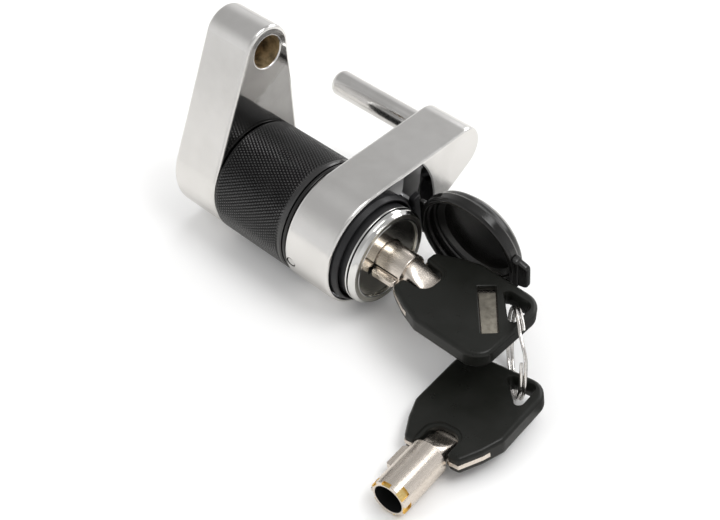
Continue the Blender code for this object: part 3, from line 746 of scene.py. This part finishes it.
def cylinder_profile():
    """Half section of the lock cylinder as (x, radius, rounding), from the face back to the nose."""
    seat = FLOOR_X + GAP
    web_x = LOCK_X[0] + SOCKET_DEPTH + GAP
    skirt_r = RING_R - 0.2
    groove_r = RING_R - 0.45
    line_floor = FRONT_X - 0.14
    groove_low, groove_high = RETAINER_X - 1.3, RETAINER_X + 1.3
    return [
        (seat, skirt_r, 0.1),
        (BEVEL_X - 0.88, skirt_r, 0.0),
        (BEVEL_X - 0.86, RING_R, 0.06),
        (BEVEL_X - 0.5, RING_R, 0.12),
        (BEVEL_X - 0.42, groove_r, 0.05),
        (BEVEL_X - 0.12, groove_r, 0.05),
        (BEVEL_X - 0.05, RING_R, 0.1),
        (BEVEL_X + 0.7, RING_R - 0.12, 0.6),
        (FRONT_X, RING_R - 0.85, 0.25),
        (FRONT_X, LINE_R + 0.05, 0.03),
        (line_floor, LINE_R, 0.03),
        (line_floor, LINE_R - 0.17, 0.03),
        (FRONT_X, LINE_R - 0.22, 0.03),
        (FRONT_X, RECESS_R + 0.45, 0.05),
        (FRONT_X + 0.07, RECESS_R + 0.36, 0.05),
        (FRONT_X + 0.04, RECESS_R + 0.1, 0.1),
        (RECESS_X, RECESS_R, 0.08),
        (RECESS_X, KEYWAY_R + 0.1, 0.1),
        (RECESS_X - 0.3, KEYWAY_R, 0.1),
        (CORE_X, KEYWAY_R, 0),
        (CORE_X, CORE_R, 0),
        (NOSE_X, CORE_R, 0.1),
        (NOSE_X, NOSE_R, 0.3),
        (groove_low, NOSE_R, 0.05),
        (groove_low, NOSE_R - 0.6, 0.05),
        (groove_high, NOSE_R - 0.6, 0.05),
        (groove_high, NOSE_R, 0.05),
        (web_x, NOSE_R, 0.05),
        (web_x, BARREL_R, 0.1),
        (seat, BARREL_R, 0.05),
    ]


def finish_cylinder_face(face):
    """Chrome 0, recess floor 1, turned ring 2 or black 3, by where the face lies; black 3 is painted shade
    on the skirt behind the chrome band and in the groove.
    """
    middle = face.calc_center_median()
    radius = math.hypot(middle.y, middle.z)
    on_skirt = radius > RING_R - 0.4 and middle.x < BEVEL_X - 0.87
    in_groove = RING_R - 0.7 < radius < RING_R - 0.06 and BEVEL_X - 0.47 < middle.x < BEVEL_X - 0.08
    # Skirt and groove are painted black: painted shade in the step behind the ring and in the groove.
    if on_skirt or in_groove:
        face.material_index = 3
    elif middle.x > RECESS_X - 0.1 and radius < RECESS_R + 0.05:
        face.material_index = 1
    elif middle.x > FRONT_X - 0.1 and RECESS_R + 0.5 < radius < LINE_R:
        face.material_index = 2


def build_lock_cylinder(m):
    """Turned lock cylinder, with two cross ports in its nose and a notch beside the keyway."""
    bm = turned(fillet(cylinder_profile(), steps=4), 160, closed=True)
    for face in bm.faces:
        finish_cylinder_face(face)
    ports = [radial_bar(1.95, KEYWAY_R, NOSE_R + 1.0, 30.0, angle) for angle in (90.0, 270.0)]
    # The notch's walls are painted black: painted shade in the notch beside the keyway.
    notch = box((RECESS_X - 1.2, -6.2, -0.8), (RECESS_X + 1.0, -4.0, 0.8))
    piece(
        "cylinder_lock",
        bm,
        [m["lock_chrome"], m["recess_floor"], m["lock_face"], m["ring_plastic_and_painted_shade"]],
        "lock_half",
        ["lock_cylinder"],
        [
            (ports[0], "DIFFERENCE", None),
            (ports[1], "DIFFERENCE", None),
            (notch, "DIFFERENCE", m["bore_black"]),
        ],
    )


def hinge_frame():
    """Directions from the barrel axis to the hinge, and along the hinge."""
    y, z = polar(1.0, HINGE_ANGLE)
    return Vector((0.0, y, z)), Vector((0.0, -z, y))


def flap(half_low, half_high, low, high, x_low, x_high, rounding=0.35):
    """Tapered flat piece with rounded edges: along the hinge, then away from it."""
    corners = [(-half_low, low, 0.0), (half_low, low, 0.0), (half_high, high, 1.1), (-half_high, high, 1.1)]
    return prism(fillet(corners), x_low, x_high, rounding=rounding)


def build_cover_ring(m):
    """Black ring round the lock cylinder, with the root of the cover's hinge."""
    low = FLOOR_X + GAP
    outer = LOCK_R[0] - POCKET_WALL - GAP
    inner = RING_R + GAP
    front = LOCK_X[1] + 1.5
    corners = [
        (low, outer, 0.1),
        (LOCK_X[1] + 0.3, outer, 0.3),
        (front, outer - 0.45, 0.35),
        (front, inner + 0.1, 0.2),
        (low, inner, 0.1),
    ]
    bm = turned(fillet(corners), 160, closed=True)
    radial, axis = hinge_frame()
    across = Matrix((axis, -radial, Vector((1.0, 0.0, 0.0)))).transposed().to_4x4()
    top = HINGE_X - 0.9
    lug = flap(3.2, 3.2, -HINGE_R - 0.2, -inner - 0.4, low + 1.0, top)
    brow = flap(5.6, 5.6, -HINGE_R - 1.5, -inner - 0.7, LOCK_X[1] + 0.25, top)
    tools = []
    for part in (lug, brow):
        part.transform(across)
        tools.append((part, "UNION", None))
    piece("ring_cover", bm, [m["ring_plastic_and_painted_shade"]], "lock_half", ["cover_ring"], tools)


def cover_profile(lip_x):
    """Half section of the closed cover as (x, radius, rounding), from its crown round to the inside."""
    back = lip_x + COVER_DEPTH
    floor = back - COVER_WALL
    bead = COVER_BEAD_R
    crown_r = 9.9
    inner_r = COVER_INNER_R
    rib_r = 11.4
    return [
        (back, AXIS_R, 0),
        (back, crown_r, 2.6),
        (back - 2.0, bead - 0.65, 1.8),
        (lip_x + 2.9, bead - 0.35, 0.5),
        (lip_x + 2.35, bead, 0.35),
        (lip_x + 0.75, bead, 0.6),
        (lip_x, bead - 0.35, 0.55),
        (lip_x - 0.02, bead - 1.05, 0.3),
        (lip_x + 0.35, inner_r, 0.25),
        (lip_x + 1.1, inner_r + 0.05, 0.2),
        (lip_x + 1.5, rib_r, 0.25),
        (lip_x + 2.0, rib_r + 0.05, 0.25),
        (lip_x + 2.35, inner_r, 0.25),
        (lip_x + 3.2, inner_r - 0.1, 0.2),
        (lip_x + 3.5, inner_r - 0.5, 0.2),
        (back - 2.2, inner_r - 0.6, 0.8),
        (floor, crown_r, 0.7),
        (floor, AXIS_R, 0),
    ]


def build_dust_cover(m):
    """Cover built closed, on the barrel's axis, and then swung open about its hinge."""
    radial, axis = hinge_frame()
    along_x = Vector((1.0, 0.0, 0.0))
    lip_x = HINGE_X - 0.85
    opened = swing_matrix(radial, axis, COVER_OPEN)
    bm = turned(fillet(cover_profile(lip_x), closed=False, steps=6), 160)
    bm.transform(opened @ Matrix((along_x, radial, axis)).transposed().to_4x4())
    across = Matrix((axis, -radial, along_x)).transposed().to_4x4()
    strap = flap(5.4, 5.4, -HINGE_R - 0.2, -COVER_INNER_R, lip_x + 0.9, lip_x + 2.0)
    tab = flap(4.4, 3.2, 12.4, 16.2, lip_x + 0.7, lip_x + 2.3, 0.5)
    grip = flap(4.6, 4.2, 12.5, 14.0, lip_x + 0.2, lip_x + 2.5, 0.6)
    tools = []
    for part in (strap, tab, grip):
        part.transform(opened @ across)
        tools.append((part, "UNION", None))
    piece("cover_dust", bm, [m["cover_plastic"]], "cover", ["dust_cover"], tools)


def swing_matrix(radial, axis, degrees):
    """Turn the closed cover about its hinge so that it opens."""
    hinge_point = Vector((HINGE_X, 0.0, 0.0)) + radial * HINGE_R
    turn = Matrix.Rotation(math.radians(degrees), 4, axis)
    return Matrix.Translation(hinge_point) @ turn @ Matrix.Translation(-hinge_point)


# ---------------------------------------------------------------- keys


def bow_outline():
    """Ears, flare, sides and round corners, with a U notch for the blade's neck."""
    side = [
        (BOW_START, NOTCH_HALF, 1.2),
        (BOW_START, BOW_EAR, 1.25),
        (*BOW_SHOULDER, 3.0),
        (BOW_FLARE, BOW_HALF, 2.6),
        (BOW_END, BOW_HALF, 4.6),
    ]
    other_side = [(u, -w, radius) for u, w, radius in reversed(side)]
    notch = [(NOTCH_END, -NOTCH_HALF, 2.8), (NOTCH_END, NOTCH_HALF, 2.8)]
    return fillet(side + other_side + notch, steps=10)


def chamber_centre(index):
    """Place of a cut round the tube's end, in the plane across the barrel."""
    return polar(CHAMBER_PITCH_R, CHAMBER_START + 360.0 * index / CHAMBERS)


def blade_plate(grow=0.0):
    """Flat end of the blade inside the bow."""
    half = NECK_HALF + grow
    return [
        (PLATE_START, -half),
        (36.6, -5.9 - grow),
        (39.7 + grow, -2.3),
        (30.5, 8.7 + grow),
        (26.7 - grow, 5.2 + grow),
        (23.4 - grow, half),
        (PLATE_START, half),
    ]


def neck(steps=18, around=48):
    """Neck of the blade: the rolled tube is pinched down to the flat plate."""
    loops = []
    for i in range(steps + 1):
        t = i / steps
        ease = t * t * (3 - 2 * t)
        half_w = NECK_R + (NECK_HALF - NECK_R) * ease
        half_n = NECK_R + (PLATE_HALF - NECK_R) * ease
        power = 2.0 / (2.0 + 3.0 * ease)
        loop = []
        for k in range(around):
            a = 2 * math.pi * (k + 0.5) / around
            c, s = math.cos(a), math.sin(a)
            w = half_w * math.copysign(abs(c) ** power, c)
            n = half_n * math.copysign(abs(s) ** power, s)
            loop.append((NECK_START + (NECK_END - NECK_START) * t, w, n))
        loops.append(loop)
    return loft(loops)


def ear_highlight_strips():
    """Bright metal strips along the ends of the bow's ears: a painted highlight where the ears' end walls
    catch a reflection.
    """
    strips = []
    proud, depth = 0.05, 0.9
    for side in (1.0, -1.0):
        line = [(BOW_START, NOTCH_HALF + 0.35), (BOW_START, BOW_EAR), BOW_SHOULDER, (20.4, 9.9)]
        outer = []
        inner = []
        for i, (u, w) in enumerate(line):
            outer.append((u - 0.04, (w + proud) * side))
            inner.append((u + depth, (w - depth if i else w) * side))
        strips.append(prism(outer + inner[::-1], -0.55, 0.55))
    return strips


def key_lug():
    """Side lug of the tube, which holds the key in the lock while it is turned."""
    root, face, front, back = -3.8, -5.9, 6.8, 12.9
    outline = [
        (front, root),
        (front, face + 0.3),
        (front + 0.35, face),
        (back - 0.6, face),
        (back, face + 0.6),
        (back, root),
    ]
    return prism(outline, -0.65, 0.65, rounding=0.12)


def key_seam(low_n):
    """Shallow groove along the tube beside its lug, where the rolled sheet meets."""
    depth, width = 0.5, 0.33
    low = (-1.0, -TUBE_R - 0.8, low_n)
    return box(low, (TUBE_LENGTH - 0.6, -TUBE_R + depth, low_n + width))


def build_key_tube(m, prefix, matrix, metal):
    """Hollow end of the key, its neck and the flat plate that the bow is moulded on."""
    corners = [
        (0.0, TUBE_R, 0.22),
        (TUBE_LENGTH, TUBE_R, 0.3),
        (TUBE_LENGTH, TUBE_BORE_R, 0.1),
        (0.0, TUBE_BORE_R, 0.12),
    ]
    tube = turned(fillet(corners, steps=4), 96, closed=True)
    # The bore is painted black: painted shade inside the tube.
    for face in tube.faces:
        middle = face.calc_center_median()
        if math.hypot(middle.y, middle.z) < TUBE_BORE_R + 0.05:
            face.material_index = 1
    tube.transform(matrix)
    parts = [
        (neck(), "UNION", metal),
        (prism(blade_plate(), -PLATE_HALF, PLATE_HALF), "UNION", metal),
        (key_lug(), "UNION", metal),
        (key_seam(0.95), "DIFFERENCE", m["bore_black"]),
        (key_seam(-1.28), "DIFFERENCE", m["bore_black"]),
    ]
    for part, _, _ in parts:
        part.transform(matrix)
    # The cuts of the key in the lock reach further in, so that they clear the key pins.
    notch_floor = -1.1 if prefix == "key_1" else -0.12
    for i, depth in enumerate(CUTS):
        y, z = chamber_centre(i)
        notch = box((-1.0, -1.0, notch_floor), (1.2 * depth + 0.25, 1.0, 1.4))
        turn = Matrix.Rotation(math.atan2(z, y) - math.pi / 2, 4, "X")
        notch.transform(matrix @ Matrix.Translation((0.0, y, z)) @ turn)
        parts.append((notch, "DIFFERENCE", m["brass"]))
    finish = [metal, m["bore_black"]]
    piece(prefix + "_tube", tube, finish, prefix, [prefix + "_blade"], parts)


def build_key_bow(m, prefix, matrix):
    """Moulded bow with a slot for the ring, a window on the tag and a collar round the notch."""
    face_n = BOW_THICK / 2
    bow = prism(bow_outline(), -face_n, face_n, matrix, BOW_ROUND, 7)
    slot_line = fillet([(32.3, 8.4, 0.7), (39.3, 8.3, 1.3), (39.4, 1.2, 0.7)], steps=6)
    slot_levels = [(-face_n - 0.5, 0.85), (-face_n + 0.35, 0.35), (-0.6, 0.1), (0.0, 0.0)]
    slot_levels += [(-n, growth) for n, growth in reversed(slot_levels[:-1])]
    window_line = fillet([(u, w, 0.25) for u, w in WINDOW], steps=3)
    window_levels = [(0.0, 0.0), (face_n - 0.3, 0.0), (face_n - 0.12, 0.06), (face_n, 0.25)]
    window_levels.append((face_n + 0.6, 0.9))
    half, end = NOTCH_HALF + 0.9, NOTCH_END + 0.9
    collar_ends = [(BOW_START - 1.0, half, 0), (BOW_START - 1.0, -half, 0)]
    collar = fillet(collar_ends + [(end, -half, 3.6), (end, half, 3.6)], steps=10)
    parts = [
        (prism(blade_plate(0.2), -PLATE_HALF - 0.2, PLATE_HALF + 0.2), m["bore_black"]),
        (flared(slot_line, slot_levels), m["bow_plastic"]),
        (flared(window_line, window_levels), m["bow_plastic"]),
        (flared(collar, [(face_n - 0.35, -0.1), (face_n + 0.5, 0.25)]), m["bow_plastic"]),
        (flared(collar, [(-face_n - 0.5, 0.25), (-face_n + 0.35, -0.1)]), m["bow_plastic"]),
    ]
    tools = []
    for part, mat in parts:
        part.transform(matrix)
        tools.append((part, "DIFFERENCE", mat))
    piece(prefix + "_grip", bow, [m["bow_plastic"]], prefix, [prefix + "_bow"], tools)


def build_key_tag(m, prefix, matrix):
    """Blank metal tag at the bottom of the bow's window."""
    ends = [Vector(p) for p in WINDOW]
    along = (ends[3] - ends[0]).normalized()
    line = [ends[0] + along * 1.25, ends[1] + along * 1.25, ends[2] - along * 0.2, ends[3] - along * 0.2]
    outline = inset_outline([tuple(p) for p in line], 0.18)
    tag = prism(outline, 0.45, 1.45, matrix, 0.12, 3)
    piece(prefix + "_tag", tag, [m["tag"]], prefix, [])


def build_key(m, prefix, tip, u, w, metal):
    """Tubular key, whose pieces all ride on the body named by the prefix."""
    matrix = frame_matrix(tip, u, w)
    build_key_tube(m, prefix, matrix, metal)
    build_key_bow(m, prefix, matrix)
    build_key_tag(m, prefix, matrix)
    # The ear strips are a painted highlight on the ears' end walls.
    for number, strip in enumerate(ear_highlight_strips()):
        strip.transform(matrix)
        piece(f"{prefix}_edge_{number + 1}", strip, [metal], prefix, [])


def key_2_axes():
    """Directions along and across the second key, which lies turned over on the floor."""
    yaw, tilt, roll = (math.radians(a) for a in KEY_2_TURN)
    flat = math.cos(tilt)
    u = Vector((math.sin(yaw) * flat, math.cos(yaw) * flat, -math.sin(tilt)))
    level = Vector((math.cos(yaw), -math.sin(yaw), 0.0))
    return u, level * math.cos(roll) - u.cross(level) * math.sin(roll)


def ring_point(degrees, radius, sideways):
    """Point on the split ring, which stands upright: 90 is up."""
    heading = math.radians(RING_HEADING)
    flat = Vector((math.cos(heading), math.sin(heading), 0.0))
    side = flat.cross(Vector((0.0, 0.0, 1.0)))
    c, s = polar(radius, degrees)
    return Vector(RING_CENTRE) + flat * c + Vector((0.0, 0.0, s)) + side * sideways


def build_split_ring(m):
    """Two turns of wire, side by side, with a short cross-over and blunt ends."""
    per_turn, sides, lap, start = 144, 16, 8, 57.0
    shift = WIRE_R + TURN_GAP / 2
    first, last = lap, 2 * per_turn - lap
    loops = []
    for i in range(first, last + 1):
        a = start + 360.0 * i / per_turn
        share = min(1.0, max(0.0, (i - per_turn + lap) / (2.0 * lap)))
        offset = shift * (2 * share * share * (3 - 2 * share) - 1)
        near_end = min(i - first, last - i)
        wire = WIRE_R * (0.82 if near_end == 0 else 1.0)
        loop = []
        for k in range(sides):
            out, sideways = polar(wire, 360.0 * k / sides)
            loop.append(ring_point(a, RING_MEAN_R + out, offset + sideways))
        loops.append(loop)
    piece("ring_split", loft(loops), [m["wire"]], "ring", ["split_ring"])


# ---------------------------------------------------------------- inner parts


def dress_frame_nodes(m):
    """Give every CAD node that stays visible its finished material."""
    by_word = (
        ("cylinder_pin", "pin_chrome"),
        ("spring", "steel"),
        ("driver_block", "brass"),
        ("driver_pin", "brass"),
        ("key_pin", "brass"),
        ("plug_post", "steel"),
        ("plug", "brass"),
    )
    replaced = {
        "receiver_arm",
        "lock_arm",
        "latch_pin",
        "knurled_sleeve",
        "thrust_ring",
        "lock_cylinder",
        "cover_ring",
        "dust_cover",
        "key_1_blade",
        "key_1_bow",
        "key_2_blade",
        "key_2_bow",
        "split_ring",
    }
    for name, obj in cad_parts.items():
        if name in replaced:
            continue
        finish = "steel"
        for word, choice in by_word:
            if word in name:
                finish = choice
                break
        for slot in obj.material_slots:
            slot.material = m[finish]


# ---------------------------------------------------------------- stage


def build_floor(z):
    """Plain pale floor; seen in reflections it is painted darker, and much darker in front of the lock's
    face: a painted reflection.
    """
    bm = bmesh.new()
    bmesh.ops.create_grid(bm, x_segments=8, y_segments=8, size=FLOOR_HALF)
    bmesh.ops.translate(bm, verts=bm.verts, vec=(0.0, 0.0, z))
    s = Shader("pale_floor", (0.9, 0.9, 0.9), 0.0, 0.9)
    path = s.node("ShaderNodeLightPath")
    split = s.node("ShaderNodeSeparateXYZ")
    s.link(s.place, split.inputs["Vector"])
    across = s.node("ShaderNodeMath")
    across.operation = "COMPARE"
    s.link(split.outputs["Y"], across.inputs[0])
    across.inputs[1].default_value = 0.02
    across.inputs[2].default_value = 0.021
    painted_dark_reflection_patch = s.node("ShaderNodeMath")
    painted_dark_reflection_patch.operation = "MULTIPLY"
    s.link(s.spread(split.outputs["X"], 0.05, 0.06, 0.0, 1.0), painted_dark_reflection_patch.inputs[0])
    s.link(across.outputs["Value"], painted_dark_reflection_patch.inputs[1])
    # Glossy rays see a painted reflection: a darker floor tone, and a painted dark stretch in front of the
    # lock's face.
    painted_reflection_colour = s.mix(painted_dark_reflection_patch.outputs["Value"], (0.8, 0.79, 0.77), (0.19, 0.19, 0.187))
    s.colour(s.mix(path.outputs["Is Glossy Ray"], (0.93, 0.93, 0.93), painted_reflection_colour))
    floor = raw_object("floor", bm, [s.mat])


def build_world():
    """Bright studio, a little darker in a band high up, which the flat tops reflect."""
    world = bpy.data.worlds.new("studio")
    bpy.context.scene.world = world
    world.use_nodes = True
    tree = world.node_tree
    background = tree.nodes["Background"]
    place = tree.nodes.new("ShaderNodeTexCoord")
    split = tree.nodes.new("ShaderNodeSeparateXYZ")
    tree.links.new(place.outputs["Generated"], split.inputs["Vector"])
    ramp = tree.nodes.new("ShaderNodeValToRGB")
    stops = ramp.color_ramp.elements
    stops[0].position = 0.0
    stops[0].color = (0.8, 0.8, 0.8, 1.0)
    stops[1].position = 0.35
    stops[1].color = (0.74, 0.735, 0.73, 1.0)
    for position, grey in ((0.68, 0.44), (0.84, 0.44), (1.0, 0.85)):
        stops.new(position).color = (grey, grey * 0.995, grey * 0.985, 1.0)
    tree.links.new(split.outputs["Z"], ramp.inputs["Fac"])
    tree.links.new(ramp.outputs["Color"], background.inputs["Color"])
    background.inputs["Strength"].default_value = 1.0


def area_light(name, at, size, power, mirrored):
    """Softbox aimed at the lock; one that isn't mirrored adds light but no highlight."""
    light = bpy.data.lights.new(name, "AREA")
    light.shape = "RECTANGLE"
    light.size, light.size_y = size
    light.energy = power
    obj = bpy.data.objects.new(name, light)
    obj.location = at
    obj.visible_glossy = mirrored
    direction = Vector(STAGE_MIDDLE) - Vector(at)
    obj.rotation_euler = direction.to_track_quat("-Z", "Y").to_euler()
    bpy.context.scene.collection.objects.link(obj)


def build_stage():
    lowest = cad_box[0][2] / MM
    build_floor(lowest - FLOOR_DROP)
    build_world()
    area_light("softbox_left", (-0.35, -0.45, 0.5), (0.6, 0.6), 1.9, False)
    area_light("softbox_top", (0.1, 0.25, 0.75), (0.9, 0.6), 1.8, False)
    area_light("softbox_high", (0.29, 0.1, 0.5), (0.3, 0.2), 1.0, True)
    area_light("softbox_back", (0.1, 0.6, 0.3), (0.7, 0.22), 1.2, True)


def build_camera():
    camera = bpy.data.cameras.new("camera")
    camera.lens = CAMERA_LENS
    camera.sensor_width = CAMERA_SENSOR
    camera.clip_start = 0.01
    camera.clip_end = 20.0
    obj = bpy.data.objects.new("camera", camera)
    obj.location = CAMERA_AT
    direction = Vector(CAMERA_TO) - Vector(CAMERA_AT)
    obj.rotation_euler = direction.to_track_quat("-Z", "Y").to_euler()
    bpy.context.scene.collection.objects.link(obj)
    bpy.context.scene.camera = obj
    bpy.context.scene.view_settings.view_transform = "Standard"


materials = make_materials()
build_camera()
build_receiver_arm(materials)
build_lock_arm(materials)
build_latch_pin(materials)
build_sleeve(materials)
build_thrust_ring(materials)
build_lock_cylinder(materials)
build_cover_ring(materials)
build_dust_cover(materials)
build_key(materials, "key_1", KEY_1_TIP, (1, 0, 0), (0, 1, 0), materials["nickel"])
key_2_u, key_2_w = key_2_axes()
build_key(materials, "key_2", KEY_2_TIP, key_2_u, key_2_w, materials["nickel_cross"])
build_split_ring(materials)
dress_frame_nodes(materials)
build_stage()
